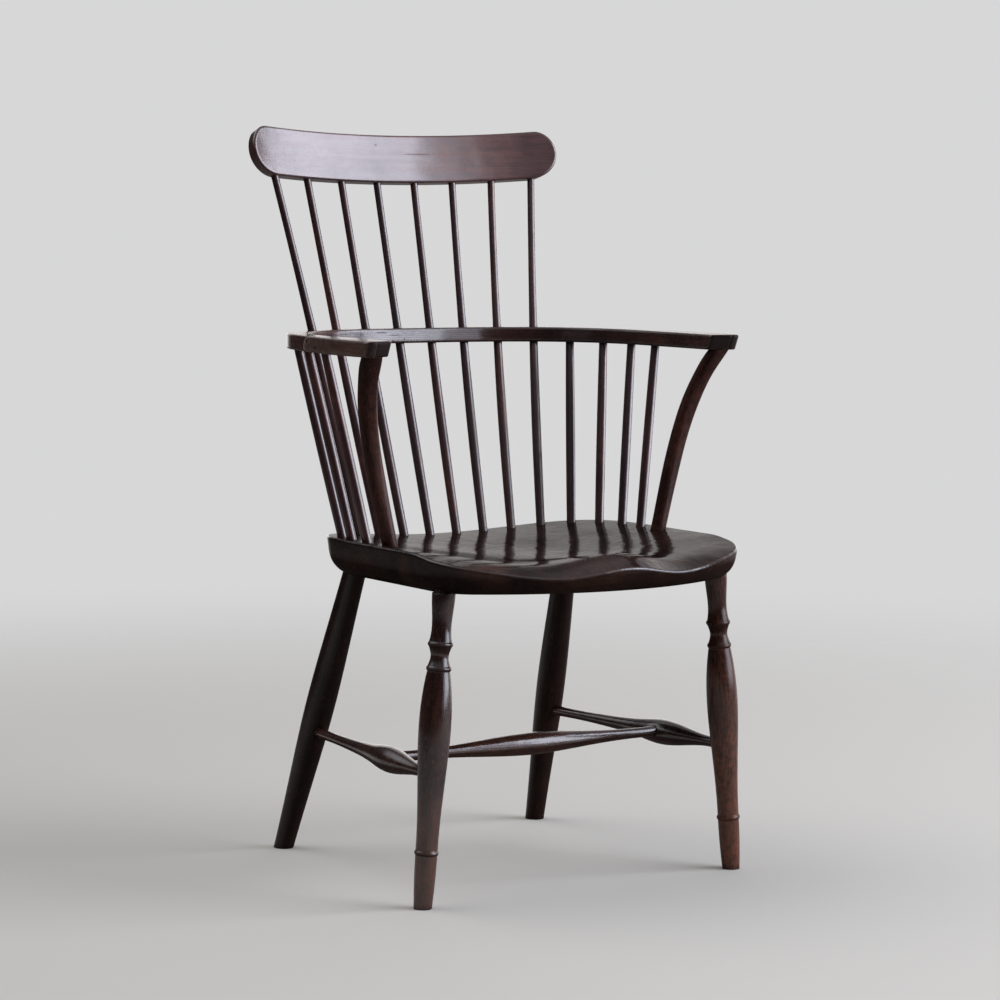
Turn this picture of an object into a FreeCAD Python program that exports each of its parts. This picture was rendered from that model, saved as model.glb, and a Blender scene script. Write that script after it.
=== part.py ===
import FreeCAD, Part
import math
import os

from FreeCAD import Vector

# Comb back windsor armchair, in millimetres.
# The chair stands on z = 0 and faces -Y. Left and right are as seen by someone facing the chair.

# Seat plank
seat_height = 435.0
seat_thickness = 47.0
seat_half_width = 230.0
seat_back_centre = -28.0
seat_back_reach = 176.0
seat_back_power = 2.8
seat_front = -315.0
seat_front_bow = 81.0
seat_corner_run = 32.0
seat_bevel_inset = 13.0
seat_bevel_power = 5.0
seat_side_lean = 5.0
seat_rim_round = 3.0

# Hollow of the seat
bowl_depth = 24.0
bowl_power = 1.5
bowl_back_share = 0.66
bowl_back_run = 187.0
bowl_full_line = -60.0
front_roll_depth = 19.0
front_roll_start = 0.3
front_roll_line = -175.0
front_roll_reach = 140.0
front_roll_power = 2.5
pommel_rise = 24.5
pommel_spread = 53.0
pommel_run = 195.0

# Line of spindle feet on the seat
foot_line_inset = 19.0
foot_line_power = 2.9
foot_pitch = 41.6
foot_depth = 16.0

# Arm bow
bow_height = 673.0
bow_thickness = 20.0
bow_width = 26.0
bow_half_width = 254.5
bow_centre = -30.0
bow_reach = 236.5
bow_power = 2.9
bow_pitch = 50.7
bow_edge_round = 2.5
bow_socket_depth = 14.0
arm_end_slant = 9.0
arm_end_skew = 22.5
arm_end_lip = 1.5
arm_outer_round = 10.0
arm_inner_round = 5.0

# Arm pieces lapped on the outside of the bow
arm_piece_width = 15.0
arm_piece_start = 36.0
arm_swell_start = 62.0
arm_swell_run = 136.0
tail_nose_height = 5.0
tail_upper_run = 20.0
tail_lower_run = 8.0

# Nails through the tails of the arm pieces
nail_head_diameter = 4.0
nail_head_height = 0.8
nail_proud = 0.3
nail_diameter = 2.0
nail_length = 18.0
nail_back_inset = 13.0
nail_spacing = 32.0
nail_stagger = 3.5

# Arm supports
support_foot_gap = 47.5
support_inset = 5.5
support_top_x = 263.0
support_top_y = -129.5
support_sweep_power = 4.0
support_foot_diameter = 20.0
support_middle_width = 21.0
support_middle_depth = 21.0
support_top_width = 25.0
support_top_depth = 23.0
support_squareness = 2.6
support_tenon_diameter = 8.5
support_tenon_length = 12.0
support_tenon_root = 3.0

# Spindles
long_spindles_each_side = 4
short_spindles_each_side = 4
spindle_foot_diameter = 12.4
spindle_swell_diameter = 13.2
spindle_arm_diameter = 11.7
spindle_top_diameter = 10.2
spindle_swell_share = 0.28

# Comb rail
comb_height = 887.0
comb_back = 259.6
comb_lean = 15.5
comb_radius = 700.0
comb_pitch = 58.5
comb_half_length = 238.5
comb_depth = 66.5
comb_thickness = 17.0
comb_shoulder_length = 28.0
comb_heel_length = 38.0
comb_heel_height = 34.0
comb_edge_round = 3.0
comb_socket_depth = 22.0

# Legs, with the place of each foot on the floor and of each top under the seat
front_foot_x = 235.0
front_foot_y = -209.5
front_top_x = 205.5
front_top_y = -207.0
rear_foot_x = 201.0
rear_foot_y = 207.0
rear_top_x = 165.0
rear_top_y = 78.0
leg_tenon_diameter = 23.4
leg_tenon_length = 18.0

# Turned front leg, heights measured along the leg
front_foot_diameter = 22.6
front_ankle_diameter = 26.2
front_ankle_height = 35.0
front_foot_ring_diameter = 30.4
front_foot_ring_height = 69.0
front_shin_diameter = 27.4
front_calf_diameter = 29.8
front_calf_height = 120.0
front_knee_diameter = 36.0
front_knee_height = 173.0
front_swell_diameter = 40.0
front_swell_height = 224.0
front_chest_diameter = 36.8
front_chest_height = 261.0
front_ring_diameter = 31.4
front_lower_ring_height = 296.0
front_upper_ring_height = 326.0
front_collar_diameter = 28.4
front_cove_diameter = 24.8
front_cove_run = 8.0
front_neck_diameter = 22.3
front_flare_diameter = 26.0
front_flare_run = 9.0
front_head_diameter = 24.4
front_head_run = 18.0

# Turned rings
ring_width = 6.0
ring_flank_share = 0.6
ring_fullness = 0.65

# Plain rear leg, heights measured along the leg
rear_foot_diameter = 26.0
rear_calf_diameter = 34.0
rear_calf_height = 125.0
rear_swell_diameter = 38.5
rear_swell_height = 210.0
rear_thigh_diameter = 35.6
rear_thigh_height = 300.0
rear_head_diameter = 29.8

# Stretchers
stretcher_height = 164.5
stretcher_end_diameter = 14.2
stretcher_tenon_end = 3.0
stretcher_tenon_start = 22.0
stretcher_waist_diameter = 15.8
bulb_diameter = 33.2
bulb_share = 0.335
bulb_front_run = 76.0
bulb_rear_run = 112.0
bulb_flank_share = 0.4
bulb_front_flank_diameter = 28.6
bulb_rear_flank_diameter = 24.6
cross_diameter = 29.0
cross_shoulder_diameter = 18.8
cross_rise = 2.0
cross_tenon_end = 4.0
cross_tenon_start = 19.0

# Fits
clearance = 0.15

# Fineness of the curves that follow a formula
hoop_steps = 240
oval_steps = 12
seat_rows = 30
seat_edge_steps = 6
seat_columns = 24
support_steps = 8
round_pull = 0.5523

seat_bottom = seat_height - seat_thickness
seat_front_radius = (seat_half_width ** 2 + seat_front_bow ** 2) / (2.0 * seat_front_bow)
bow_top = bow_height + bow_thickness
bow_middle = bow_height + bow_thickness / 2.0
bow_outer_x = bow_half_width + bow_width / 2.0
arm_outer_x = bow_outer_x + arm_piece_width
arm_end = support_top_y - support_top_depth / 2.0 - arm_end_lip
arm_tip = arm_end - arm_end_slant - (arm_outer_x - support_top_x) * math.tan(math.radians(arm_end_skew))
right_angle = math.pi / 2.0
up = Vector(0, 0, 1)


def smooth(share):
    """Ease from 0 to 1 as the share goes from 0 to 1."""
    share = min(1.0, max(0.0, share))
    return share * share * (3.0 - 2.0 * share)


def oval(half_width, reach, power, angle):
    """Point of a squared oval about the origin, with the angle measured from +X."""
    across = math.cos(angle)
    along = math.sin(angle)
    x = half_width * math.copysign(abs(across) ** (2.0 / power), across)
    y = reach * math.copysign(abs(along) ** (2.0 / power), along)
    return x, y


def spline(points):
    """Smooth edge through a list of points."""
    curve = Part.BSplineCurve()
    curve.interpolate(points)
    return curve.toShape()


def quarter(centre, half_width, reach, power, start, height):
    """Edge of a quarter of a squared oval, anticlockwise from the start angle."""
    points = []
    for step in range(oval_steps + 1):
        x, y = oval(half_width, reach, power, start + right_angle * step / oval_steps)
        points.append(Vector(x, centre + y, height))
    curve = Part.BSplineCurve()
    curve.interpolate(points, InitialTangent=Vector(-math.sin(start), math.cos(start), 0.0),
                      FinalTangent=Vector(-math.cos(start), -math.sin(start), 0.0))
    return curve.toShape()


def corner_curve(start, corner, end):
    """Rounded corner between two straight runs that would meet at the corner point."""
    curve = Part.BezierCurve()
    curve.setPoles([start, start + (corner - start) * round_pull, end + (corner - end) * round_pull, end])
    return curve.toShape()


def turned(profile, start, direction):
    """Solid turned about an axis from a list of runs, each a list of distance and diameter pairs.

    A run of two pairs is straight, a longer one is a smooth curve, and each starts where the last ended.
    """
    edges = []
    for run in profile:
        points = [Vector(diameter / 2.0, 0.0, distance) for distance, diameter in run]
        edges.append(Part.makeLine(points[0], points[1]) if len(points) == 2 else spline(points))
    first, last = edges[0].firstVertex().Point, edges[-1].lastVertex().Point
    bottom = Vector(0.0, 0.0, first.z)
    top = Vector(0.0, 0.0, last.z)
    edges.append(Part.makeLine(last, top))
    edges.append(Part.makeLine(top, bottom))
    edges.append(Part.makeLine(bottom, first))
    solid = Part.Face(Part.Wire(edges)).revolve(Vector(), up, 360.0)
    solid.Placement = FreeCAD.Placement(start, FreeCAD.Rotation(up, direction))
    return solid


# Plan lines that carry the spindles

def half_hoop(half_width, centre, reach, power, front):
    """Points from the middle of the back round to the right side and straight on to the front."""
    points = []
    for step in range(hoop_steps + 1):
        x, y = oval(half_width, reach, power, right_angle * (1.0 - step / hoop_steps))
        points.append(Vector(x, centre + y, 0.0))
    points.append(Vector(half_width, front, 0.0))
    return points


def walk(points, distance):
    """Point at a distance along a line of points."""
    for first, second in zip(points, points[1:]):
        step = (second - first).Length
        if distance <= step:
            return first + (second - first) * (distance / step)
        distance -= step
    return points[-1]


foot_line = half_hoop(seat_half_width - foot_line_inset, seat_back_centre,
                      seat_back_reach - foot_line_inset, foot_line_power, seat_front)
bow_line = half_hoop(bow_half_width, bow_centre, bow_reach, bow_power, arm_tip)


def seat_point(distance, side):
    """Point on the seat top at a distance along the foot line, on the right for side 1."""
    plan = walk(foot_line, distance)
    return Vector(side * plan.x, plan.y, seat_surface(plan.x, plan.y))


def bow_point(distance, side, height):
    """Point in the bow at a distance along its middle line."""
    plan = walk(bow_line, distance)
    return Vector(side * plan.x, plan.y, height)


def comb_point(distance, side):
    """Point in the middle of the lower edge of the comb rail."""
    angle = distance / comb_radius
    lean = math.radians(comb_lean)
    forward = comb_radius * (1.0 - math.cos(angle))
    return Vector(side * comb_radius * math.sin(angle), comb_back - forward * math.cos(lean),
                  comb_height + forward * math.sin(lean))


# Seat

def seat_surface(x, y):
    """Height of the hollowed top of the seat."""
    across = x / seat_half_width
    bowl = max(0.0, 1.0 - across * across) ** bowl_power
    bowl *= 1.0 - (1.0 - bowl_back_share) * smooth((y - bowl_full_line) / bowl_back_run)
    forward = max(0.0, (front_roll_line - y) / front_roll_reach)
    outward = abs(across) ** front_roll_power + forward ** front_roll_power
    roll = smooth((outward - front_roll_start) / (1.0 - front_roll_start)) * min(1.0, forward)
    pommel = math.exp(-0.5 * (x / pommel_spread) ** 2) * smooth((seat_front + pommel_run - y) / pommel_run)
    return seat_height - bowl_depth * bowl - front_roll_depth * roll + pommel_rise * pommel


def seat_outline(inset, height):
    """Closed outline of the seat: round back, straight sides, rounded corners and bowed front."""
    half_width = seat_half_width - inset
    radius = seat_front_radius - inset
    back = (seat_back_centre, half_width, seat_back_reach - inset, seat_back_power)
    centre = seat_front + seat_front_radius
    corner_angle = math.asin(half_width / radius)
    start_angle = corner_angle - seat_corner_run / radius
    side_end = centre - radius * math.cos(corner_angle) + seat_corner_run
    start_x = radius * math.sin(start_angle)
    start_y = centre - radius * math.cos(start_angle)
    corner_y = start_y + (half_width - start_x) * math.tan(start_angle)
    def at(x, y):
        return Vector(x, y, height)
    front = Part.Arc(at(-start_x, start_y), at(0.0, centre - radius), at(start_x, start_y)).toShape()
    return Part.Wire([
        quarter(*back, 0.0, height), quarter(*back, right_angle, height),
        Part.makeLine(at(-half_width, seat_back_centre), at(-half_width, side_end)),
        corner_curve(at(-half_width, side_end), at(-half_width, corner_y), at(-start_x, start_y)),
        front,
        corner_curve(at(start_x, start_y), at(half_width, corner_y), at(half_width, side_end)),
        Part.makeLine(at(half_width, side_end), at(half_width, seat_back_centre))])


def seat_waste():
    """Wood above the hollowed top of the seat."""
    margin = foot_line_inset
    front = seat_front - margin
    length = seat_back_centre + seat_back_reach + margin - front
    width = 2.0 * (seat_half_width + margin)
    grid = []
    for row in range(seat_rows + 1):
        y = front + length * row / seat_rows
        xs = [width * (column / seat_columns - 0.5) for column in range(seat_columns + 1)]
        grid.append([Vector(x, y, seat_surface(x, y)) for x in xs])
    top = Part.BSplineSurface()
    top.interpolate(grid)
    return top.toShape().extrude(up * (2.0 * seat_thickness))


def seat_edge_inset(share):
    """Inset of the leaning side and rounded lower edge at a share of the way up the plank."""
    rest = max(0.0, 1.0 - share)
    return seat_bevel_inset * rest ** seat_bevel_power + seat_side_lean * rest


def seat_blank():
    """Seat plank with a rounded lower edge and a hollowed top."""
    outlines = []
    for step in range(seat_edge_steps + 3):
        share = step / seat_edge_steps
        outlines.append(seat_outline(seat_edge_inset(share), seat_bottom + seat_thickness * share))
    plank = Part.makeLoft(outlines, True, False).cut(seat_waste())
    top = max(plank.Faces, key=lambda face: face.CenterOfMass.z)
    return plank.makeFillet(seat_rim_round, top.OuterWire.Edges)


# Legs

def leg_axis(foot_x, foot_y, top_x, top_y, side):
    """Foot of a leg on the floor, the direction up it and its length to the seat."""
    foot = Vector(side * foot_x, foot_y, 0.0)
    top = Vector(side * top_x, top_y, seat_bottom)
    return foot, (top - foot).normalize(), (top - foot).Length


def front_axis(side):
    return leg_axis(front_foot_x, front_foot_y, front_top_x, front_top_y, side)


def rear_axis(side):
    return leg_axis(rear_foot_x, rear_foot_y, rear_top_x, rear_top_y, side)


def bead(height, below, diameter, above):
    """Run of a turned ring, up from one diameter, round and back to another."""
    half = ring_width / 2.0
    flank = ring_flank_share * half
    return [(height - half, below), (height - flank, below + ring_fullness * (diameter - below)),
            (height, diameter), (height + flank, above + ring_fullness * (diameter - above)),
            (height + half, above)]


def front_profile(length):
    """Runs of the turned front leg, carried past the floor and the seat to be cut level there."""
    spare = leg_tenon_length
    half = ring_width / 2.0
    neck_height = (front_lower_ring_height + front_upper_ring_height) / 2.0
    shin = front_shin_diameter
    collar = front_collar_diameter
    return [
        [(-spare, front_foot_diameter), (0.0, front_foot_diameter)],
        [(0.0, front_foot_diameter), (front_ankle_height, front_ankle_diameter),
         (front_foot_ring_height - half, shin)],
        bead(front_foot_ring_height, shin, front_foot_ring_diameter, shin),
        [(front_foot_ring_height + half, shin), (front_calf_height, front_calf_diameter),
         (front_knee_height, front_knee_diameter), (front_swell_height, front_swell_diameter),
         (front_chest_height, front_chest_diameter), (front_lower_ring_height - half, collar)],
        bead(front_lower_ring_height, collar, front_ring_diameter, collar),
        [(front_lower_ring_height + half, collar),
         (front_lower_ring_height + front_cove_run, front_cove_diameter), (neck_height, front_neck_diameter),
         (front_upper_ring_height - front_cove_run, front_cove_diameter),
         (front_upper_ring_height - half, collar)],
        bead(front_upper_ring_height, collar, front_ring_diameter, collar),
        [(front_upper_ring_height + half, collar),
         (front_upper_ring_height + front_flare_run, front_flare_diameter),
         (front_upper_ring_height + front_head_run, front_head_diameter),
         (length + spare, front_head_diameter)],
    ]


def rear_profile(length):
    """Runs of the plain rear leg, carried past the floor and the seat to be cut level there."""
    spare = leg_tenon_length
    return [
        [(-spare, rear_foot_diameter), (0.0, rear_foot_diameter)],
        [(0.0, rear_foot_diameter), (rear_calf_height, rear_calf_diameter),
         (rear_swell_height, rear_swell_diameter), (rear_thigh_height, rear_thigh_diameter),
         (length, rear_head_diameter)],
        [(length, rear_head_diameter), (length + spare, rear_head_diameter)],
    ]


def leg_tenon(axis, grow):
    """Round tenon at the top of a leg, or its socket when it is grown by the clearance."""
    foot, direction, length = axis
    start = length - leg_tenon_length
    return Part.makeCylinder(leg_tenon_diameter / 2.0 + grow, 2.0 * leg_tenon_length + grow,
                             foot + direction * start, direction)


def leg(profile, axis, stretcher_tenon):
    """Leg cut level on the floor and under the seat, with its tenon and its stretcher socket."""
    foot, direction, length = axis
    blank = turned(profile(length), foot, direction)
    middle = foot + direction * (length / 2.0)
    slab = Part.makeBox(length, length, seat_bottom,
                        Vector(middle.x - length / 2.0, middle.y - length / 2.0, 0.0))
    return blank.common(slab).fuse(leg_tenon(axis, 0.0)).cut(stretcher_tenon).removeSplitter()


# Stretchers

def stretcher_line(side):
    """Ends of a side stretcher on the axes of its two legs."""
    ends = []
    for foot, direction, length in (front_axis(side), rear_axis(side)):
        ends.append(foot + direction * (stretcher_height / direction.z))
    return ends


def cross_end(side):
    """End of the cross stretcher, a little above the middle of a bulb."""
    front, rear = stretcher_line(side)
    return front + (rear - front) * bulb_share + up * cross_rise


def tenon_socket(centre, towards, tenon_end, tenon_start):
    """Socket for a stretcher that points from a centre inside a round piece towards another point."""
    direction = (towards - centre).normalize()
    start = tenon_end - clearance
    return Part.makeCylinder(stretcher_end_diameter / 2.0 + clearance, tenon_start - start,
                             centre + direction * start, direction)


def side_stretcher(side):
    """Side stretcher with a bulb where the cross stretcher enters it."""
    front, rear = stretcher_line(side)
    length = (rear - front).Length
    bulb = length * bulb_share
    front_tenon = [(stretcher_tenon_end, stretcher_end_diameter),
                   (stretcher_tenon_start, stretcher_end_diameter)]
    rear_tenon = [(length - distance, diameter) for distance, diameter in reversed(front_tenon)]
    middle = [front_tenon[-1], (bulb - bulb_front_run, stretcher_waist_diameter),
              (bulb - bulb_flank_share * bulb_front_run, bulb_front_flank_diameter), (bulb, bulb_diameter),
              (bulb + bulb_flank_share * bulb_rear_run, bulb_rear_flank_diameter),
              (bulb + bulb_rear_run, stretcher_waist_diameter), rear_tenon[0]]
    whole = turned([front_tenon, middle, rear_tenon], front, (rear - front).normalize())
    return whole.cut(tenon_socket(cross_end(side), cross_end(-side), cross_tenon_end, cross_tenon_start))


def cross_stretcher():
    """Cross stretcher, thickest in the middle, between the two bulbs."""
    left = cross_end(-1)
    right = cross_end(1)
    length = (right - left).Length
    left_tenon = [(cross_tenon_end, stretcher_end_diameter), (cross_tenon_start, stretcher_end_diameter)]
    right_tenon = [(length - distance, diameter) for distance, diameter in reversed(left_tenon)]
    shoulder = (cross_tenon_start + length / 2.0) / 2.0
    middle = [left_tenon[-1], (shoulder, cross_shoulder_diameter), (length / 2.0, cross_diameter),
              (length - shoulder, cross_shoulder_diameter), right_tenon[0]]
    return turned([left_tenon, middle, right_tenon], left, (right - left).normalize())


# Spindles

def round_loft(sections):
    """Smooth round rod through sections of centre, direction and diameter."""
    wires = []
    for centre, direction, diameter in sections:
        wires.append(Part.Wire(Part.Circle(centre, direction, diameter / 2.0).toShape()))
    return Part.makeLoft(wires, True, False)


def spindle_axis(foot, arm, top, share):
    """Point and direction at a share of the way up a long spindle that passes through the arm bow."""
    arm_share = (arm.z - foot.z) / (top.z - foot.z)
    chord = top - foot
    spring = (arm - foot - chord * arm_share) * (1.0 / (arm_share * (1.0 - arm_share)))
    point = foot + chord * share + spring * (share * (1.0 - share))
    return point, (chord + spring * (1.0 - 2.0 * share)).normalize()


def long_spindle(index, side):
    """Long spindle from the seat through the bow to the comb, and its hole in each of them."""
    place = index + 0.5
    ends = (seat_point(place * foot_pitch, side), bow_point(place * bow_pitch, side, bow_middle),
            comb_point(place * comb_pitch, side))
    foot, arm, top = ends
    arm_share = (arm.z - foot.z) / (top.z - foot.z)
    shares = (0.0, spindle_swell_share, arm_share, 1.0)
    widths = (spindle_foot_diameter, spindle_swell_diameter, spindle_arm_diameter, spindle_top_diameter)
    sections = [spindle_axis(*ends, share) + (width,) for share, width in zip(shares, widths)]
    foot_way = sections[0][1]
    top_way = sections[-1][1]
    lowest = (foot - foot_way * foot_depth, foot_way, spindle_foot_diameter)
    highest = (top + top_way * comb_socket_depth, top_way, spindle_top_diameter)
    rod = round_loft([lowest] + sections + [highest])
    arm_way = sections[2][1]
    holes = {
        "seat": hole(lowest[0], foot_way, foot_depth, spindle_foot_diameter),
        "bow": through_hole(arm, arm_way, spindle_arm_diameter),
        "comb": hole(highest[0], top_way * -1.0, comb_socket_depth, spindle_top_diameter),
    }
    return rod, holes


def hole(bottom, way_out, depth, diameter):
    """Blind hole with its bottom just below the end of a rod, running past the surface."""
    start = bottom - way_out * clearance
    return Part.makeCylinder(diameter / 2.0 + clearance, 2.0 * depth, start, way_out)


def through_hole(middle, way, diameter):
    """Hole right through the arm bow."""
    start = middle - way * bow_thickness
    return Part.makeCylinder(diameter / 2.0 + clearance, 2.0 * bow_thickness, start, way)


def short_spindle(index, side):
    """Short spindle from the seat into the underside of the bow, and its holes."""
    place = index + 0.5
    foot = seat_point(place * foot_pitch, side)
    arm = bow_point(place * bow_pitch, side, bow_height)
    way = (arm - foot).normalize()
    length = (arm - foot).Length
    end = length + bow_socket_depth
    profile = [
        [(-foot_depth, spindle_foot_diameter), (0.0, spindle_foot_diameter)],
        [(0.0, spindle_foot_diameter), (length / 2.0, spindle_swell_diameter),
         (length, spindle_arm_diameter)],
        [(length, spindle_arm_diameter), (end, spindle_arm_diameter)],
    ]
    holes = {
        "seat": hole(foot - way * foot_depth, way, foot_depth, spindle_foot_diameter),
        "bow": hole(foot + way * end, way * -1.0, bow_socket_depth, spindle_arm_diameter),
    }
    return turned(profile, foot, way), holes


# Arm bow and arm pieces

def half_horseshoe(points):
    """Level slab inside the right half of a horseshoe, from its curve, with a straight arm to the front."""
    curve = Part.BSplineCurve()
    curve.interpolate(points, InitialTangent=Vector(0, 1, 0), FinalTangent=Vector(-1, 0, 0))
    front = Vector(points[0].x, arm_tip, bow_height)
    middle_front = Vector(0, arm_tip, bow_height)
    edges = [Part.makeLine(front, points[0]), curve.toShape(), Part.makeLine(points[-1], middle_front),
             Part.makeLine(middle_front, front)]
    return Part.Face(Part.Wire(edges)).extrude(up * bow_thickness)


def bow_back(offset, first):
    """Right half of the back of the bow from a first angle to the middle, at an offset from its line."""
    points = []
    for step in range(oval_steps + 1):
        angle = first + (right_angle - first) * step / oval_steps
        x, y = oval(bow_half_width + offset, bow_reach + offset, bow_power, angle)
        points.append(Vector(x, bow_centre + y, bow_height))
    points[-1].x = 0.0
    return points


def bow_side_x(y):
    """Distance of the outer face of the bow from the middle of the chair."""
    back = max(0.0, y - bow_centre) / (bow_reach + bow_width / 2.0)
    return bow_outer_x * (1.0 - back ** bow_power) ** (1.0 / bow_power)


def arm_side_x(y):
    """Distance of the outer face of an arm from the middle of the chair, with its arm piece."""
    return bow_side_x(y) + arm_piece_width * smooth((arm_swell_start - y) / arm_swell_run)


def arm_end_waste():
    """Wood cut off the front of an arm along a plane that slopes like the support and runs skew to it."""
    skew = math.radians(arm_end_skew)
    across = Vector(math.cos(skew), -math.sin(skew), 0.0) * bow_half_width
    rise = Vector(0.0, -arm_end_slant, bow_thickness)
    base = Vector(support_top_x, arm_end, bow_height) - rise
    corners = [base - across, base + across, base + across + rise * 3.0, base - across + rise * 3.0]
    plane = Part.Face(Part.makePolygon(corners + corners[:1]))
    return plane.extrude(Vector(0.0, -bow_half_width, 0.0))


def right_arm():
    """Right half of the bow with its arm piece as one rounded shape, before the lap between them is cut."""
    half = bow_width / 2.0
    swell = []
    for step in range(oval_steps):
        y = arm_swell_start - arm_swell_run * (1.0 - step / oval_steps)
        swell.append(Vector(arm_side_x(y), y, bow_height))
    back_share = (arm_swell_start - bow_centre) / (bow_reach + half)
    first = math.asin(back_share ** (bow_power / 2.0))
    arm = half_horseshoe(swell + bow_back(half, first)).cut(half_horseshoe(bow_back(-half, 0.0)))
    arm = arm.cut(arm_end_waste())
    for radius, near in ((arm_outer_round, arm_outer_x), (arm_inner_round, bow_half_width - half)):
        upright = [edge for edge in arm.Edges if edge.CenterOfMass.y < support_top_y
                   and abs(edge.CenterOfMass.x - near) < clearance]
        arm = arm.makeFillet(radius, upright)
    level_edges = [edge for edge in arm.Edges
                   if edge.BoundBox.ZLength < clearance and edge.BoundBox.XLength > clearance]
    return arm.makeFillet(bow_edge_round, level_edges)


def lap_zone(gap):
    """Room outside the right arm for a piece with a rounded tail, made smaller all round by a gap."""
    def at(y, z):
        return Vector(0, y, z)
    tail = arm_piece_start - gap
    low = at(tail - tail_lower_run, bow_height)
    high = at(tail - tail_upper_run, bow_top)
    tip = at(tail, bow_height + tail_nose_height)
    front_low = at(arm_tip, bow_height)
    front_high = at(arm_tip, bow_top)
    edges = [Part.makeLine(front_low, low), corner_curve(low, at(tail, bow_height), tip),
             corner_curve(tip, at(tail, bow_top), high), Part.makeLine(high, front_high),
             Part.makeLine(front_high, front_low)]
    slab = Part.Face(Part.Wire(edges)).extrude(Vector(2.0 * bow_half_width, 0, 0))
    return slab.cut(half_horseshoe(bow_back(bow_width / 2.0 + gap, 0.0)))


def on_side(shape, side):
    """Shape made for the right of the chair, on the right or mirrored to the left."""
    return shape if side > 0 else shape.mirror(Vector(), Vector(1, 0, 0))


def nail(index, side, grow):
    """Nail driven through the tail of an arm piece into the bow, or its hole when grown."""
    y = arm_piece_start - nail_back_inset - nail_spacing * index
    z = bow_middle + nail_stagger * (1.0 - 2.0 * index)
    inward = Vector(-side, 0, 0)
    start = Vector(side * (arm_side_x(y) + nail_proud), y, z)
    head = Part.makeCylinder(nail_head_diameter / 2.0 + grow, nail_head_height + grow, start, inward)
    shank = Part.makeCylinder(nail_diameter / 2.0 + grow, nail_length + grow, start, inward)
    return head.fuse(shank)


# Arm supports

def support_axis(share, foot, side):
    """Middle of an arm support at a share of its height, curving forward towards the top."""
    rise = bow_height - foot.z
    sweep = max(0.0, share) ** support_sweep_power
    return Vector(side * (foot.x + (support_top_x - foot.x) * share),
                  foot.y + (support_top_y - foot.y) * sweep, foot.z + rise * share)


def support_section(centre, width, depth, power):
    """Level rounded section of an arm support."""
    points = []
    for step in range(4 * oval_steps):
        x, y = oval(width / 2.0, depth / 2.0, power, right_angle * step / oval_steps)
        points.append(centre + Vector(x, y, 0.0))
    curve = Part.BSplineCurve()
    curve.interpolate(points, PeriodicFlag=True)
    return Part.Wire(curve.toShape())


def blend(first, middle, last, share):
    """Value that runs through three values at the foot, the middle and the top."""
    if share < 0.5:
        return first + (middle - first) * smooth(2.0 * share)
    return middle + (last - middle) * (2.0 * share - 1.0)


def support_foot():
    """Middle of the foot of a right arm support on the seat, before the foremost spindle."""
    last_place = long_spindles_each_side + short_spindles_each_side - 0.5
    plan = walk(foot_line, last_place * foot_pitch + support_foot_gap)
    x = plan.x - support_inset
    return Vector(x, plan.y, seat_surface(x, plan.y))


def support_top_tenon(side, grow):
    start = Vector(side * support_top_x, support_top_y, bow_height - support_tenon_root)
    length = support_tenon_root + support_tenon_length + grow
    return Part.makeCylinder(support_tenon_diameter / 2.0 + grow, length, start, up)


def support_socket(side):
    """Socket in the seat for the round foot of an arm support."""
    foot = support_foot()
    rise = bow_height - foot.z
    wires = []
    for height in (-foot_depth - clearance, foot_depth):
        centre = support_axis(height / rise, foot, side)
        wires.append(support_section(centre, support_foot_diameter + 2.0 * clearance,
                                     support_foot_diameter + 2.0 * clearance, 2.0))
    return Part.makeLoft(wires, True, True)


def arm_support(side):
    """Curved arm support, round at the seat and squarer under the arm, with a tenon at each end."""
    foot = support_foot()
    rise = bow_height - foot.z
    shares = [-foot_depth / rise, 0.0] + [(step + 1.0) / support_steps for step in range(support_steps)]
    wires = []
    for share in shares:
        width = blend(support_foot_diameter, support_middle_width, support_top_width, share)
        depth = blend(support_foot_diameter, support_middle_depth, support_top_depth, share)
        power = blend(2.0, support_squareness, support_squareness, share)
        wires.append(support_section(support_axis(share, foot, side), width, depth, power))
    return Part.makeLoft(wires, True, False).fuse(support_top_tenon(side, 0.0))


# Comb rail

def comb_rail():
    """Curved rail with rounded ends, leaning back with the spindles."""
    depth = 2.0 * comb_radius
    level = comb_half_length - comb_shoulder_length
    heel = comb_half_length - comb_heel_length
    def at(x, z):
        return Vector(x, -comb_radius, z)
    edges = []
    for side in (1, -1):
        top = at(side * level, comb_depth)
        tip = at(side * comb_half_length, comb_heel_height)
        low = at(side * heel, 0.0)
        edges.append(corner_curve(low, at(side * comb_half_length, 0.0), tip))
        edges.append(corner_curve(tip, at(side * comb_half_length, comb_depth), top))
    edges.append(Part.makeLine(at(-level, comb_depth), at(level, comb_depth)))
    edges.append(Part.makeLine(at(-heel, 0.0), at(heel, 0.0)))
    board = Part.Face(Part.Wire(Part.__sortEdges__(edges))).extrude(Vector(0, depth, 0))
    centre = Vector(0, -comb_radius, -comb_depth)
    outer = Part.makeCylinder(comb_radius + comb_thickness / 2.0, 3.0 * comb_depth, centre)
    inner = Part.makeCylinder(comb_radius - comb_thickness / 2.0, 3.0 * comb_depth, centre)
    rail = board.common(outer.cut(inner))
    rail = rail.makeFillet(comb_edge_round, face_edges(rail))
    rail.Placement = FreeCAD.Placement(Vector(0, comb_back, comb_height),
                                       FreeCAD.Rotation(Vector(1, 0, 0), -comb_lean))
    return rail


def face_edges(rail):
    """Edges of the two broad faces of the rail."""
    broad = sorted(rail.Faces, key=lambda face: face.Area)[-2:]
    return [edge for face in broad for edge in face.Edges]


# Assembly

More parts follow.
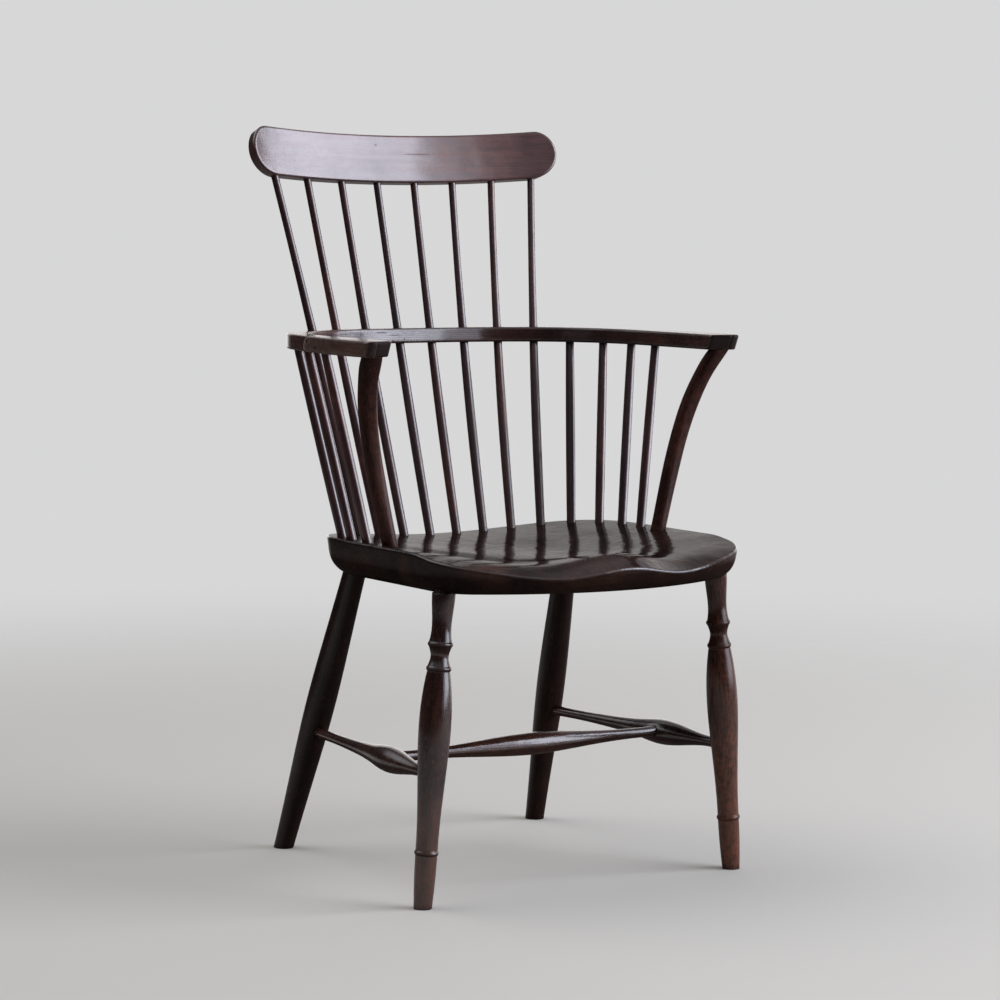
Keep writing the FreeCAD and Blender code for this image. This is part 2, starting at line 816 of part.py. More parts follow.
def chair():
    """Every piece of the chair by name, each with the sockets that its neighbours need."""
    pieces = {}
    seat = seat_blank()
    arm = right_arm()
    piece = arm.common(lap_zone(clearance))
    half_bow = arm.cut(lap_zone(0.0))
    bow = half_bow.fuse(on_side(half_bow, -1))
    comb = comb_rail()
    seat_holes = []
    bow_holes = []
    comb_holes = []
    nails = []
    for side, hand in ((-1, "left"), (1, "right")):
        front, rear = stretcher_line(side)
        pieces["front_%s_leg" % hand] = leg(
            front_profile, front_axis(side),
            tenon_socket(front, rear, stretcher_tenon_end, 2.0 * stretcher_tenon_start))
        pieces["rear_%s_leg" % hand] = leg(
            rear_profile, rear_axis(side),
            tenon_socket(rear, front, stretcher_tenon_end, 2.0 * stretcher_tenon_start))
        seat_holes += [leg_tenon(front_axis(side), clearance), leg_tenon(rear_axis(side), clearance)]
        pieces["%s_side_stretcher" % hand] = side_stretcher(side)
        for index in range(long_spindles_each_side):
            number = long_spindles_each_side + side * (index + 1) + (1 if side < 0 else 0)
            rod, holes = long_spindle(index, side)
            pieces["back_spindle_%d" % number] = rod
            seat_holes.append(holes["seat"])
            bow_holes.append(holes["bow"])
            comb_holes.append(holes["comb"])
        for index in range(short_spindles_each_side):
            rod, holes = short_spindle(long_spindles_each_side + index, side)
            pieces["%s_side_spindle_%d" % (hand, short_spindles_each_side - index)] = rod
            seat_holes.append(holes["seat"])
            bow_holes.append(holes["bow"])
        pieces["%s_arm_support" % hand] = arm_support(side)
        seat_holes.append(support_socket(side))
        bow_holes.append(support_top_tenon(side, clearance))
        nail_holes = [nail(index, side, clearance) for index in (0, 1)]
        pieces["%s_arm_piece" % hand] = on_side(piece, side).cut(nail_holes)
        bow_holes += nail_holes
        nails += [nail(index, side, 0.0) for index in (0, 1)]
    pieces["cross_stretcher"] = cross_stretcher()
    pieces["seat"] = seat.cut(seat_holes)
    pieces["arm_bow"] = bow.cut(bow_holes).removeSplitter()
    pieces["comb_rail"] = comb.cut(comb_holes)
    pieces["arm_nails"] = Part.makeCompound(nails)
    return pieces


def main():
    """Stand the chair with the middle of its outline over the origin, and write each piece."""
    os.makedirs("parts", exist_ok=True)
    pieces = chair()
    extent = Part.makeCompound(list(pieces.values())).optimalBoundingBox(False, False)
    for name, shape in pieces.items():
        shape.translate(Vector(0.0, -extent.Center.y, 0.0))
        shape.exportStep("parts/%s.step" % name)


main()
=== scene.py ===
import math

import bpy
import numpy as np
from mathutils import Matrix, Vector

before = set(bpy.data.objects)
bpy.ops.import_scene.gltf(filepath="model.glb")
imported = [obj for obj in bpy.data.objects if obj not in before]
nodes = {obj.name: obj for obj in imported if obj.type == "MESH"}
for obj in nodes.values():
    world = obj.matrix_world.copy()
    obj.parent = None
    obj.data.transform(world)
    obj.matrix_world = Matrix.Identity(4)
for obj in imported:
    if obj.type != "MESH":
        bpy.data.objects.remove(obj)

scene = bpy.context.scene
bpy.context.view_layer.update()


# Node helpers

def fill(tree, socket, value):
    """Links an input to another node's output, or sets it to a plain value."""
    if isinstance(value, bpy.types.NodeSocket):
        tree.links.new(value, socket)
    else:
        socket.default_value = value


def put(tree, kind, links=None, **props):
    """Adds a node, sets its properties, and fills its inputs with values or with other nodes' outputs."""
    node = tree.nodes.new(kind)
    for key, value in props.items():
        setattr(node, key, value)
    for key, value in (links or {}).items():
        fill(tree, node.inputs[key], value)
    return node


def place_on(tree):
    """The place on the object, in metres in the chair's frame."""
    return put(tree, "ShaderNodeTexCoord").outputs["Object"]


def calc(tree, operation, *values, clamp=False):
    """One number worked out from others."""
    node = put(tree, "ShaderNodeMath", dict(enumerate(values)), operation=operation, use_clamp=clamp)
    return node.outputs[0]


def vector(tree, operation, *values):
    """One vector worked out from others."""
    node = put(tree, "ShaderNodeVectorMath", operation=operation)
    for socket, value in zip(node.inputs, values):
        fill(tree, socket, value)
    return node.outputs["Value"] if operation in ("LENGTH", "DOT_PRODUCT") else node.outputs[0]


def span(tree, value, low, high, start=0.0, end=1.0):
    """The value's place between low and high, eased, as a number from start to end."""
    links = {"Value": value, "From Min": low, "From Max": high, "To Min": start, "To Max": end}
    return put(tree, "ShaderNodeMapRange", links, interpolation_type="SMOOTHSTEP").outputs["Result"]


def noise(tree, place, scale, detail=3.0, roughness=0.55):
    """Soft noise from 0 to 1 at a place."""
    links = {"Vector": place, "Scale": scale, "Detail": detail, "Roughness": roughness}
    return put(tree, "ShaderNodeTexNoise", links).outputs["Fac"]


def grain_noise(tree, place, across, along, detail, roughness):
    """Noise from 0 to 1 that is drawn out along the grain."""
    return noise(tree, vector(tree, "MULTIPLY", place, (across, across, along)), 1.0, detail, roughness)


def patch(tree, place, middle, reach, full):
    """1 in the middle of an oval patch, out to the full share of its reach, and 0 beyond its rim."""
    offset = vector(tree, "DIVIDE", vector(tree, "SUBTRACT", place, middle), reach)
    return span(tree, vector(tree, "LENGTH", offset), 1.0, full)


def blend(tree, share, first, second):
    """The first colour, with a share of the second."""
    node = put(tree, "ShaderNodeMix", data_type="RGBA")
    for index, value in ((0, share), (6, first), (7, second)):
        fill(tree, node.inputs[index], value)
    return node.outputs[2]


def new_material(name):
    """An empty node material and its tree."""
    material = bpy.data.materials.new(name)
    material.use_nodes = True
    material.node_tree.nodes.clear()
    return material, material.node_tree


# Which way the grain runs

def grain_mapping(tree, obj, shift):
    """Places along and across a straight piece, with the grain along Z.

    The shift gives each piece its own cut of wood.
    """
    points = np.empty(3 * len(obj.data.vertices))
    obj.data.vertices.foreach_get("co", points)
    points = points.reshape(-1, 3)
    middle = points.mean(axis=0)
    sample = points[::7] - middle
    axis = Vector(np.linalg.svd(sample, full_matrices=False)[2][0])
    turn = axis.rotation_difference(Vector((0.0, 0.0, 1.0)))
    home = -(turn @ Vector(middle)) + Vector((shift, 0.6 * shift, 0.3 * shift))
    place = place_on(tree)
    mapping = put(tree, "ShaderNodeMapping", {"Vector": place})
    mapping.inputs["Rotation"].default_value = turn.to_euler("XYZ")
    mapping.inputs["Location"].default_value = home
    return mapping.outputs["Vector"]


def seat_mapping(tree, obj, shift):
    """Places in the seat plank, whose grain runs from side to side and whose heart lies below it."""
    place = place_on(tree)
    mapping = put(tree, "ShaderNodeMapping", {"Vector": place})
    mapping.inputs["Rotation"].default_value = (0.02, math.radians(-90.0), 0.05)
    mapping.inputs["Location"].default_value = (-0.25, 0.02, shift)
    return mapping.outputs["Vector"]


def comb_mapping(tree, obj, shift):
    """Places in the bent comb rail, whose grain follows its curve."""
    place = place_on(tree)
    split = put(tree, "ShaderNodeSeparateXYZ", {"Vector": place})
    curve = 0.71
    bow = calc(tree, "MULTIPLY", split.outputs["X"], split.outputs["X"])
    depth = calc(tree, "MULTIPLY_ADD", bow, curve, split.outputs["Y"])
    links = {"X": depth, "Y": calc(tree, "ADD", split.outputs["Z"], shift), "Z": split.outputs["X"]}
    return put(tree, "ShaderNodeCombineXYZ", links).outputs["Vector"]


def bow_mapping(tree, obj, shift):
    """Places in the bent arm bow, whose grain runs along the arms and round the back."""
    half_width, reach, power = 0.2545, 0.2365, 2.9
    centre = -0.0161
    place = place_on(tree)
    split = put(tree, "ShaderNodeSeparateXYZ", {"Vector": place})
    x, y, z = split.outputs["X"], split.outputs["Y"], split.outputs["Z"]
    side = calc(tree, "ABSOLUTE", x)
    behind = calc(tree, "MAXIMUM", calc(tree, "SUBTRACT", y, centre), 0.0)
    before = calc(tree, "MAXIMUM", calc(tree, "SUBTRACT", centre, y), 0.0)
    wide = calc(tree, "POWER", calc(tree, "DIVIDE", side, half_width), power)
    deep = calc(tree, "POWER", calc(tree, "DIVIDE", behind, reach), power)
    ring = calc(tree, "POWER", calc(tree, "ADD", wide, deep), 1.0 / power)
    across = calc(tree, "MULTIPLY", ring, half_width)
    turn = calc(tree, "MULTIPLY", calc(tree, "ARCTAN2", behind, x), half_width)
    along = calc(tree, "SUBTRACT", turn, calc(tree, "MULTIPLY", calc(tree, "SIGN", x), before))
    links = {"X": calc(tree, "ADD", across, shift), "Y": z, "Z": along}
    return put(tree, "ShaderNodeCombineXYZ", links).outputs["Vector"]


# Old stained wood

def old_wood(name, obj, mapping, shift, style):
    """Dark stained wood with rings, fibres and pores, rubbed paler on edges and where hands wore it."""
    material, tree = new_material(name)
    grain = mapping(tree, obj, shift)
    place = place_on(tree)

    # The grain wanders a little.
    slow = vector(tree, "MULTIPLY", grain, (14.0, 14.0, 3.0))
    wander = put(tree, "ShaderNodeTexNoise", {"Vector": slow, "Scale": 1.0})
    sway = vector(tree, "SUBTRACT", wander.outputs["Color"], (0.5, 0.5, 0.5))
    wavy = vector(tree, "ADD", grain, vector(tree, "MULTIPLY", sway, (0.012, 0.012, 0.0)))

    # Growth rings round the heart of the tree, dark in their late wood
    from_heart = vector(tree, "MULTIPLY", vector(tree, "SUBTRACT", wavy, style["heart"]), (1.0, 1.0, 0.0))
    years = calc(tree, "DIVIDE", vector(tree, "LENGTH", from_heart), style["ring"])
    year = calc(tree, "FRACT", calc(tree, "ADD", years, noise(tree, grain, 9.0, 2.0)))
    late = span(tree, year, 0.45, 0.95)
    ring = calc(tree, "MULTIPLY", late, span(tree, year, 1.0, 0.95))

    # Fibres, streaks and pores along the grain, and slow changes of the finish over the piece
    fibre = grain_noise(tree, wavy, 620.0, 11.0, 4.0, 0.6)
    streak = grain_noise(tree, wavy, 150.0, 3.5, 3.0, 0.5)
    pore = span(tree, grain_noise(tree, wavy, 1300.0, 55.0, 2.0, 0.5), 0.60, 0.72)
    patina = noise(tree, vector(tree, "ADD", place, (shift, shift, 0.0)), 11.0, 5.0, 0.6)
    handled = noise(tree, vector(tree, "ADD", place, (0.0, shift, shift)), 32.0, 6.0, 0.65)

    # Softened edges, and painted shade in the corners
    geometry = put(tree, "ShaderNodeNewGeometry")
    rounded = put(tree, "ShaderNodeBevel", {"Radius": style["edge"]}, samples=6)
    lean = vector(tree, "DOT_PRODUCT", rounded.outputs["Normal"], geometry.outputs["Normal"])
    edge = span(tree, calc(tree, "SUBTRACT", 1.0, lean), 0.01, 0.16)
    # Painted shade: the colour darkens where nearby surfaces hide a point, as in corners and joints.
    corner = put(tree, "ShaderNodeAmbientOcclusion", {"Distance": 0.018}, samples=6)
    corner_shade = span(tree, corner.outputs["AO"], 0.75, 0.25)

    # Where the stain is thin, and where it is rubbed away
    mottle = grain_noise(tree, wavy, 170.0, 95.0, 5.0, 0.7)
    tone = calc(tree, "MULTIPLY_ADD", calc(tree, "SUBTRACT", mottle, streak), style["mottle"], streak)
    open_wood = calc(tree, "MULTIPLY", span(tree, tone, 0.34, 0.66), span(tree, patina, 0.32, 0.66))
    split = put(tree, "ShaderNodeSeparateXYZ", {"Vector": place})
    # The thin stain shows mostly near the floor: the legs are paler towards the foot and darker towards
    # the top.
    if style["rubbed_below"]:
        low = span(tree, split.outputs["Z"], 0.34, 0.12, 0.20, 1.0)
        open_wood = calc(tree, "MULTIPLY", open_wood, low)
    wear = calc(tree, "MULTIPLY", edge, span(tree, handled, 0.30, 0.62))
    wear = calc(tree, "MULTIPLY", wear, style["edge_wear"])
    for middle, reach, amount in style["zones"]:
        uneven = calc(tree, "ADD", handled, calc(tree, "MULTIPLY", streak, 0.4))
        near = patch(tree, place, middle, reach, 0.25)
        rubbed = calc(tree, "MULTIPLY", near, span(tree, uneven, 0.42, 0.95))
        wear = calc(tree, "MAXIMUM", wear, calc(tree, "MULTIPLY", rubbed, amount))
    chips = span(tree, grain_noise(tree, wavy, 390.0, 170.0, 4.0, 0.65), 0.50, 0.70)
    fleck = calc(tree, "MULTIPLY", chips, span(tree, handled, 0.42, 0.60))
    wear = calc(tree, "MAXIMUM", wear, calc(tree, "MULTIPLY", fleck, style["fleck"]))
    wear = calc(tree, "MINIMUM", wear, 1.0)

    # Corners and undersides stay dull and get painted shade; sawn ends stay dull and dark.
    facing = put(tree, "ShaderNodeSeparateXYZ", {"Vector": geometry.outputs["Normal"]})
    rise = facing.outputs["Z"]
    under = span(tree, rise, -0.02, -0.30)
    dull = calc(tree, "MAXIMUM", corner_shade, under)
    # Painted shade: the colour darkens in corners and on faces that turn downwards.
    painted_shade_and_end_grain = calc(tree, "MULTIPLY", corner_shade, 0.8)
    painted_shade_and_end_grain = calc(tree, "MAXIMUM", painted_shade_and_end_grain, calc(tree, "MULTIPLY", under, 0.4))
    if style["end"] is not None:
        frontal = vector(tree, "DOT_PRODUCT", geometry.outputs["Normal"], (0.0, -1.0, 0.0))
        at_end = span(tree, split.outputs["Y"], style["end"], style["end"] - 0.02)
        sawn = calc(tree, "MULTIPLY", span(tree, frontal, 0.45, 0.75), at_end)
        dull = calc(tree, "MAXIMUM", dull, sawn)
        painted_shade_and_end_grain = calc(tree, "MAXIMUM", painted_shade_and_end_grain, calc(tree, "MULTIPLY", sawn, 0.85))

    # Colour
    stain = blend(tree, calc(tree, "MULTIPLY", open_wood, style["open"]), style["dark"], style["mid"])
    stain = blend(tree, calc(tree, "MULTIPLY", ring, style["ring_dark"]), stain, style["deep"])
    stain = blend(tree, calc(tree, "MULTIPLY", span(tree, fibre, 0.35, 0.7), 0.35), stain, style["mid"])
    bare = blend(tree, span(tree, fibre, 0.3, 0.7), style["worn"], style["mid"])
    bare = blend(tree, calc(tree, "MULTIPLY", ring, 0.5), bare, style["mid"])
    colour = blend(tree, wear, stain, bare)
    colour = blend(tree, calc(tree, "MULTIPLY", pore, 0.55), colour, style["deep"])
    # Painted shade in corners and on undersides, and the darker sawn ends, mixed in as the deep colour.
    colour = blend(tree, painted_shade_and_end_grain, colour, style["deep"])

    # Cracks, scratches and worm holes with ragged outlines
    gouge = 0.0
    if style["marks"]:
        ragged = put(tree, "ShaderNodeTexNoise", {"Vector": place, "Scale": 260.0, "Detail": 3.0})
        torn = vector(tree, "SUBTRACT", ragged.outputs["Color"], (0.5, 0.5, 0.5))
        torn = vector(tree, "ADD", place, vector(tree, "MULTIPLY", torn, (0.003, 0.003, 0.003)))
        for middle, reach in style["marks"]:
            gouge = calc(tree, "MAXIMUM", gouge, patch(tree, torn, middle, reach, 0.5))
        colour = blend(tree, calc(tree, "MULTIPLY", gouge, 0.75), colour, style["deep"])

    # Roughness
    rough = calc(tree, "MULTIPLY_ADD", patina, 0.16, style["rough"])
    rough = calc(tree, "MULTIPLY_ADD", fibre, 0.10, rough)
    rough = calc(tree, "MULTIPLY_ADD", ring, style["ring_dull"], rough)
    rough = calc(tree, "MULTIPLY_ADD", wear, 0.10, rough)
    rough = calc(tree, "MULTIPLY_ADD", dull, 0.25, rough, clamp=True)

    # Wax, thinner where the wood is dull, worn or torn, and stronger on slopes than on flat tops
    coat = span(tree, patina, 0.25, 0.60, 0.75, 1.0)
    coat = calc(tree, "MULTIPLY", coat, span(tree, tone, 0.30, 0.70, 1.0, 0.75))
    coat = calc(tree, "MULTIPLY", coat, calc(tree, "MULTIPLY_ADD", dull, -0.92, 1.0))
    coat = calc(tree, "MULTIPLY", coat, calc(tree, "MULTIPLY_ADD", wear, -0.25, 1.0))
    coat = calc(tree, "MULTIPLY", coat, span(tree, rise, 0.95, 0.80, 1.0, style["polish"]))
    coat = calc(tree, "MULTIPLY", coat, span(tree, rise, 0.05, 0.45, style["upright"], 1.0))
    coat = calc(tree, "MULTIPLY", coat, calc(tree, "MULTIPLY_ADD", gouge, -0.6, 1.0))
    coat = calc(tree, "MULTIPLY", coat, style["coat"], clamp=True)

    # Dents and raised grain
    dent = noise(tree, vector(tree, "ADD", place, (shift, 0.0, shift)), style["dent_scale"], 2.0, 0.5)
    height = calc(tree, "MULTIPLY", dent, style["dent"])
    for pattern, amount in ((fibre, 0.10), (streak, 0.10), (ring, -0.10), (mottle, 0.30), (pore, -0.06)):
        height = calc(tree, "MULTIPLY_ADD", pattern, amount, height)
    relief = {"Height": height, "Strength": style["bump"], "Distance": 0.0012}
    relief["Normal"] = rounded.outputs["Normal"]
    surface = put(tree, "ShaderNodeBump", relief).outputs["Normal"]

    links = {"Base Color": colour, "Roughness": rough, "Coat Weight": coat}
    links.update({"Normal": surface, "Coat Normal": surface})
    shader = put(tree, "ShaderNodeBsdfPrincipled", links)
    shader.inputs["Specular IOR Level"].default_value = style["shine"]
    shader.inputs["Coat Roughness"].default_value = style["gloss"]
    shader.inputs["Coat IOR"].default_value = style["index"]
    put(tree, "ShaderNodeOutputMaterial", {"Surface": shader.outputs["BSDF"]})
    return material


def old_iron(name):
    """Dark iron nail heads with a bloom of rust."""
    material, tree = new_material(name)
    place = place_on(tree)
    bloom = noise(tree, place, 900.0, 5.0, 0.65)
    iron, rust = (0.0035, 0.0030, 0.0030, 1.0), (0.0130, 0.0065, 0.0045, 1.0)
    colour = blend(tree, span(tree, bloom, 0.42, 0.62), iron, rust)
    rough = calc(tree, "MULTIPLY_ADD", bloom, 0.4, 0.35)
    bump = put(tree, "ShaderNodeBump", {"Height": bloom, "Strength": 0.5, "Distance": 0.0003})
    links = {"Base Color": colour, "Roughness": rough, "Normal": bump.outputs["Normal"]}
    shader = put(tree, "ShaderNodeBsdfPrincipled", links)
    shader.inputs["Specular IOR Level"].default_value = 0.15
    put(tree, "ShaderNodeOutputMaterial", {"Surface": shader.outputs["BSDF"]})
    return material


# How each kind of piece looks

def look(**changes):
    """The common look of the chair's wood, with one kind of piece's changes.

    Colours: deep in pores and corners, dark and mid in the stain, worn where the stain is rubbed off.
    Rings: the heart's place, the width of a ring, and how dark and dull its late wood is.
    Stain: the share of thin stain, its mottling, and whether it is thin only near the floor.
    Wear: the width and wear of edges, flecks, rubbed zones (middle, reach, amount), marks (middle,
    reach), and where the sawn front ends begin.
    Finish: the bare wood's roughness and shine, and the wax's weight, gloss and index. The weight is
    for flat tops, times polish on anything steeper, times upright on upright sides.
    Relief: the dents' height and scale, and the strength of it all.
    """
    common = {
        "deep": (0.0034, 0.0022, 0.0020, 1.0),
        "dark": (0.0120, 0.0066, 0.0055, 1.0),
        "mid": (0.0460, 0.0190, 0.0125, 1.0),
        "worn": (0.1300, 0.0530, 0.0310, 1.0),
        "heart": (0.030, 0.018, 0.0),
        "ring": 0.0024,
        "ring_dark": 0.40,
        "ring_dull": 0.0,
        "open": 1.0,
        "mottle": 0.5,
        "rubbed_below": False,
        "edge": 0.0025,
        "edge_wear": 0.5,
        "fleck": 0.0,
        "end": None,
        "zones": [],
        "marks": [],
        "rough": 0.36,
        "shine": 0.06,
        "coat": 0.45,
        "gloss": 0.16,
        "index": 1.5,
        "polish": 1.0,
        "upright": 1.0,
        "dent": 0.5,
        "dent_scale": 40.0,
        "bump": 0.22,
    }
    common.update(changes)
    return common


seat_look = look(
    dark=(0.0070, 0.0045, 0.0040, 1.0),
    mid=(0.0400, 0.0205, 0.0150, 1.0),
    heart=(-0.060, 0.0, 0.0),
    ring=0.0019,
    ring_dark=0.32,
    ring_dull=0.05,
    edge=0.004,
    edge_wear=0.8,
    polish=4.6,
    upright=0.26,
    shine=0.0,
    coat=0.26,
    gloss=0.07,
    index=1.85,
    mottle=0.6,
    dent=1.9,
    dent_scale=48.0,
    bump=0.26,
    zones=[
        ((-0.06, -0.285, 0.415), (0.10, 0.05, 0.03), 0.5),
        ((0.10, -0.28, 0.415), (0.16, 0.05, 0.03), 0.25),
        ((-0.175, -0.255, 0.418), (0.06, 0.05, 0.022), 0.8),
        ((-0.228, -0.133, 0.412), (0.03, 0.022, 0.030), 0.6),
        ((-0.226, -0.030, 0.408), (0.03, 0.070, 0.022), 0.3),
    ],
    marks=[
        ((0.134, -0.079, 0.422), (0.011, 0.0026, 0.01)),
        ((0.101, -0.082, 0.418), (0.008, 0.0022, 0.01)),
        ((0.040, -0.120, 0.414), (0.007, 0.0020, 0.01)),
        ((-0.110, 0.060, 0.420), (0.009, 0.0022, 0.01)),
    ],
)
comb_look = look(
    dark=(0.0470, 0.0185, 0.0180, 1.0),
    mid=(0.1560, 0.0600, 0.0520, 1.0),
    worn=(0.2200, 0.1000, 0.0540, 1.0),
    heart=(0.05, -0.90, 0.0),
    ring=0.0028,
    edge_wear=0.35,
    rough=0.22,
    shine=0.35,
    coat=0.30,
    polish=1.0 / 0.30,
    gloss=0.15,
    index=1.75,
    dent=14.0,
    dent_scale=11.0,
    bump=0.09,
    zones=[((0.10, 0.25, 0.925), (0.12, 0.10, 0.045), 0.8)],
    marks=[
        ((-0.0283, 0.2786, 0.9394), (0.0024, 0.01, 0.0020)),
        ((0.034, 0.2745, 0.9275), (0.027, 0.02, 0.0011)),
    ],
)


def arm_look(dark, mid, top):
    """The look of the arm bow or an arm piece, rubbed where hands rest, with less wax on its top."""
    return look(
        dark=dark,
        mid=mid,
        edge=0.005,
        edge_wear=0.35,
        fleck=0.25,
        end=-0.10,
        rough=0.24,
        shine=0.08,
        coat=top,
        polish=1.0 / top,
        gloss=0.13,
        index=1.85,
        bump=0.16,
        zones=[
            ((-0.262, -0.13, 0.685), (0.05, 0.06, 0.04), 0.4),
            ((0.262, -0.13, 0.685), (0.05, 0.06, 0.04), 0.4),
        ],
        marks=[
            ((-0.060, 0.206, 0.6880), (0.013, 0.02, 0.0012)),
            ((-0.040, 0.207, 0.6840), (0.012, 0.02, 0.0011)),
            ((-0.042, 0.207, 0.6765), (0.0017, 0.02, 0.0017)),
            ((-0.024, 0.207, 0.6785), (0.0016, 0.02, 0.0016)),
        ],
    )


bow_look = arm_look((0.0210, 0.0098, 0.0088, 1.0), (0.0900, 0.0350, 0.0250, 1.0), 0.38)
# The arm pieces get much paler colours than the bow: painted light on their shaded outer faces.
arm_piece_painted_light_look = arm_look((0.0680, 0.0380, 0.0310, 1.0), (0.1900, 0.1080, 0.0840, 1.0), 0.24)
support_look = look(
    dark=(0.0200, 0.0085, 0.0070, 1.0),
    mid=(0.0880, 0.0310, 0.0210, 1.0),
    worn=(0.1900, 0.0750, 0.0470, 1.0),
    mottle=0.8,
    fleck=0.50,
    coat=0.30,
    gloss=0.18,
)


def leg_look(dark, mid, fleck, coat):
    """The look of a leg or stretcher, paler towards the floor, and dusty and rubbed at the foot."""
    return look(
        dark=dark,
        mid=mid,
        worn=(0.1700, 0.0700, 0.0400, 1.0),
        mottle=0.8,
        rubbed_below=True,
        edge=0.002,
        fleck=fleck,
        shine=0.03,
        coat=coat,
        gloss=0.15,
        index=1.9,
        bump=0.32,
        zones=[
            ((-0.235, -0.196, 0.03), (0.06, 0.06, 0.14), 0.4),
            ((0.235, -0.196, 0.03), (0.06, 0.06, 0.14), 0.2),
        ],
    )


left_leg_look = leg_look((0.0088, 0.0050, 0.0050, 1.0), (0.0840, 0.0295, 0.0185, 1.0), 0.50, 0.64)
right_leg_look = leg_look((0.0100, 0.0052, 0.0047, 1.0), (0.1600, 0.0530, 0.0290, 1.0), 0.60, 0.30)
rear_leg_look = leg_look((0.0085, 0.0048, 0.0040, 1.0), (0.0340, 0.0140, 0.0095, 1.0), 0.40, 0.30)
stretcher_look = leg_look((0.0150, 0.0075, 0.0058, 1.0), (0.0800, 0.0300, 0.0190, 1.0), 0.45, 0.85)


def spindle_look(count):
    """The look of one spindle, some of them redder than others."""
    golden_share = 0.618
    share = (golden_share * count) % 1.0
    return look(
        dark=(0.0230, 0.0105, 0.0118, 1.0),
        mid=(0.080 + 0.075 * share, 0.031 + 0.016 * share, 0.0300 + 0.003 * share, 1.0),
        rough=0.22,
        heart=(0.012, 0.008, 0.0),
        ring=0.0021,
        open=0.6 + 0.4 * share,
        edge_wear=0.2,
        shine=0.25,
        coat=1.0,
        gloss=0.13,
        index=1.75,
        marks=[((0.154, 0.141, 0.519), (0.004, 0.006, 0.006))],
        dent=0.12,
        bump=0.08,
    )


def dress(name, obj, count):
    """The material of one piece, with its own cut of wood."""
    shift_step = 0.37
    shift = shift_step * count
    if name == "arm_nails":
        return old_iron(name)
    if name == "seat":
        return old_wood(name, obj, seat_mapping, 0.0, seat_look)
    if name == "comb_rail":
        return old_wood(name, obj, comb_mapping, 0.0, comb_look)
    if name == "arm_bow":
        return old_wood(name, obj, bow_mapping, shift, bow_look)
    if name.endswith("arm_piece"):
        return old_wood(name, obj, bow_mapping, shift, arm_piece_painted_light_look)
    if "spindle" in name:
        style = spindle_look(count)
    elif name.endswith("arm_support"):
        style = support_look
    elif name == "front_left_leg":
        style = left_leg_look
    elif name == "front_right_leg":
        style = right_leg_look
    elif name.startswith("rear"):
        style = rear_leg_look
    else:
        style = stretcher_look
    return old_wood(name, obj, grain_mapping, shift, style)


for count, (name, obj) in enumerate(sorted(nodes.items())):
    material = dress(name, obj, count)
    for slot in obj.material_slots:
        slot.material = material


# A round pale floor that fades into the background

floor_radius, floor_corners = 6.0, 96
floor_colour = (0.62, 0.605, 0.55, 1.0)
fade_start, fade_end = 1.0, 3.2
floor_mesh = bpy.data.meshes.new("floor")
turns = np.linspace(0.0, 2.0 * math.pi, floor_corners, endpoint=False)
rim = [(floor_radius * math.cos(t), floor_radius * math.sin(t), 0.0) for t in turns]
floor_mesh.from_pydata(rim, [], [list(range(floor_corners))])
floor = bpy.data.objects.new("floor", floor_mesh)
scene.collection.objects.link(floor)
floor_material, tree = new_material("floor")
far = span(tree, vector(tree, "LENGTH", place_on(tree)), fade_start, fade_end)
plain = put(tree, "ShaderNodeBsdfDiffuse", {"Color": floor_colour})
clear = put(tree, "ShaderNodeBsdfTransparent")
fade = put(tree, "ShaderNodeMixShader", {0: far, 1: plain.outputs[0], 2: clear.outputs[0]})
put(tree, "ShaderNodeOutputMaterial", {"Surface": fade.outputs[0]})
floor_mesh.materials.append(floor_material)


# Soft light: a dim room with a brighter side, a ceiling, a patch high at the back, and a window

dim = (0.020, 0.020, 0.022, 1.0)
bright_side = (1.80, 1.74, 1.71, 1.0)
ceiling = (0.42, 0.42, 0.47, 1.0)
high_patch = (1.6, 1.6, 1.64, 1.0)
backdrop = (0.68, 0.68, 0.685, 1.0)
daylight = (0.85, 0.875, 1.0)


def towards(tree, heading, aim, low, high):
    """1 for headings close to the aim and 0 for those far from it."""
    return span(tree, vector(tree, "DOT_PRODUCT", heading, aim), low, high)


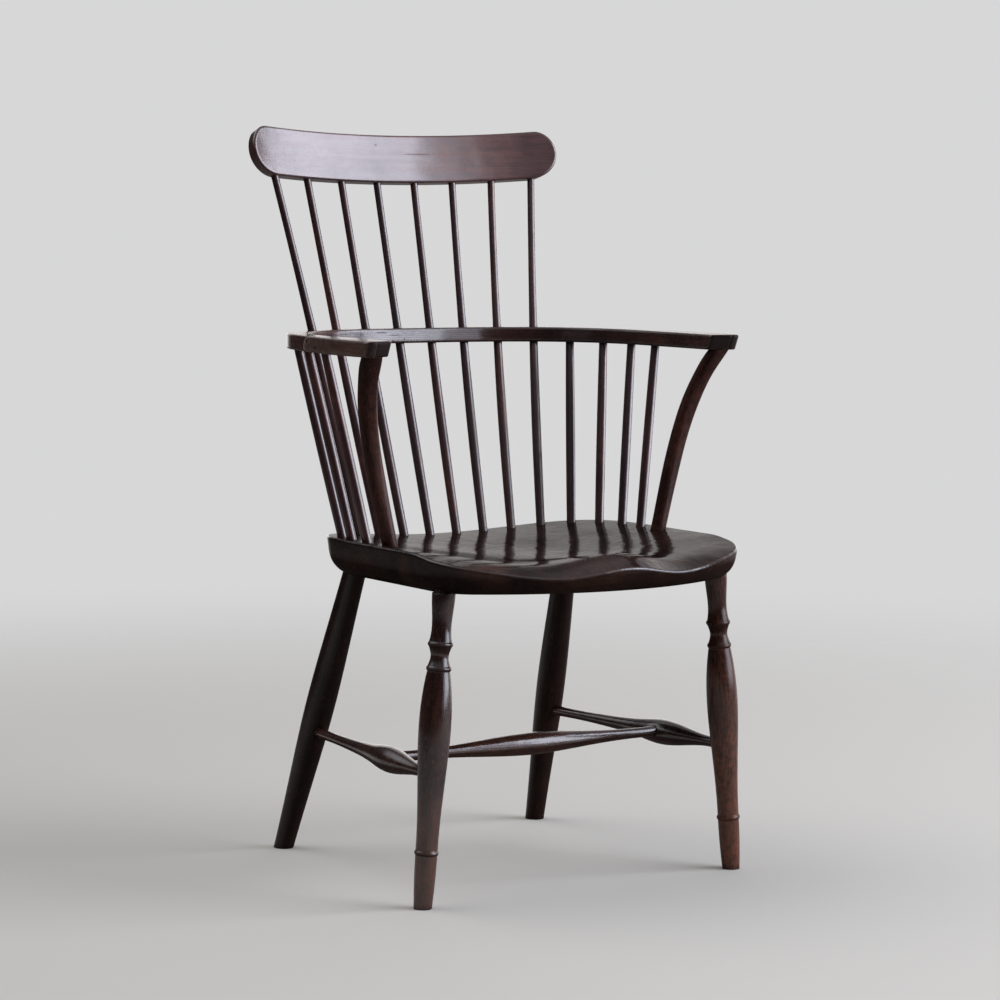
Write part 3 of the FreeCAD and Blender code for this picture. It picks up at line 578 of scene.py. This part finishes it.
world = bpy.data.worlds.new("studio")
scene.world = world
world.use_nodes = True
tree = world.node_tree
tree.nodes.clear()
heading = put(tree, "ShaderNodeTexCoord").outputs["Generated"]
room = blend(tree, towards(tree, heading, (0.80, 0.60, 0.0), 0.64, 0.93), dim, bright_side)
room = blend(tree, towards(tree, heading, (0.0, 0.0, 1.0), 0.28, 0.70), room, ceiling)
room = blend(tree, towards(tree, heading, (-0.46, 0.46, 0.76), 0.80, 0.97), room, high_patch)
path = put(tree, "ShaderNodeLightPath")
seen = blend(tree, path.outputs["Is Camera Ray"], room, backdrop)
sky = put(tree, "ShaderNodeBackground", {"Color": seen, "Strength": 1.0})
put(tree, "ShaderNodeOutputWorld", {"Surface": sky.outputs["Background"]})


def soft_box(name, azimuth, width, radiance, middle=2.31, height=4.52, distance=4.5):
    """An upright soft lamp that faces the chair. The azimuth is to the right of the chair's front."""
    lamp = bpy.data.lights.new(name, "AREA")
    lamp.shape = "RECTANGLE"
    lamp.size = width
    lamp.size_y = height
    lamp.energy = radiance * math.pi * width * height
    lamp.color = daylight
    obj = bpy.data.objects.new(name, lamp)
    side = math.radians(azimuth)
    outward = Vector((math.sin(side), -math.cos(side), 0.0))
    obj.location = distance * outward + Vector((0.0, 0.0, middle))
    obj.rotation_euler = outward.to_track_quat("Z", "Y").to_euler()
    scene.collection.objects.link(obj)


soft_box("window", azimuth=51.5, width=3.47, radiance=6.5)
soft_box("window_side", azimuth=23.5, width=1.10, radiance=1.8)


# The photograph's camera

camera_place = (-2.22606, -3.47806, 0.85829)
turn, tilt, roll = math.radians(-32.6), math.radians(5.28), math.radians(0.42)
camera = bpy.data.cameras.new("camera")
camera.sensor_fit = "HORIZONTAL"
camera.sensor_width = 36.0
camera.lens = 114.571
camera_object = bpy.data.objects.new("camera", camera)
back = Vector((math.sin(turn) * math.cos(tilt), -math.cos(turn) * math.cos(tilt), math.sin(tilt)))
level = (-back).cross(Vector((0.0, 0.0, 1.0))).normalized()
upright = level.cross(-back)
right = level * math.cos(roll) + upright * math.sin(roll)
up = upright * math.cos(roll) - level * math.sin(roll)
pose = Matrix((right, up, back)).transposed().to_4x4()
camera_object.matrix_world = Matrix.Translation(camera_place) @ pose
scene.collection.objects.link(camera_object)
scene.camera = camera_object
scene.view_settings.view_transform = "Standard"
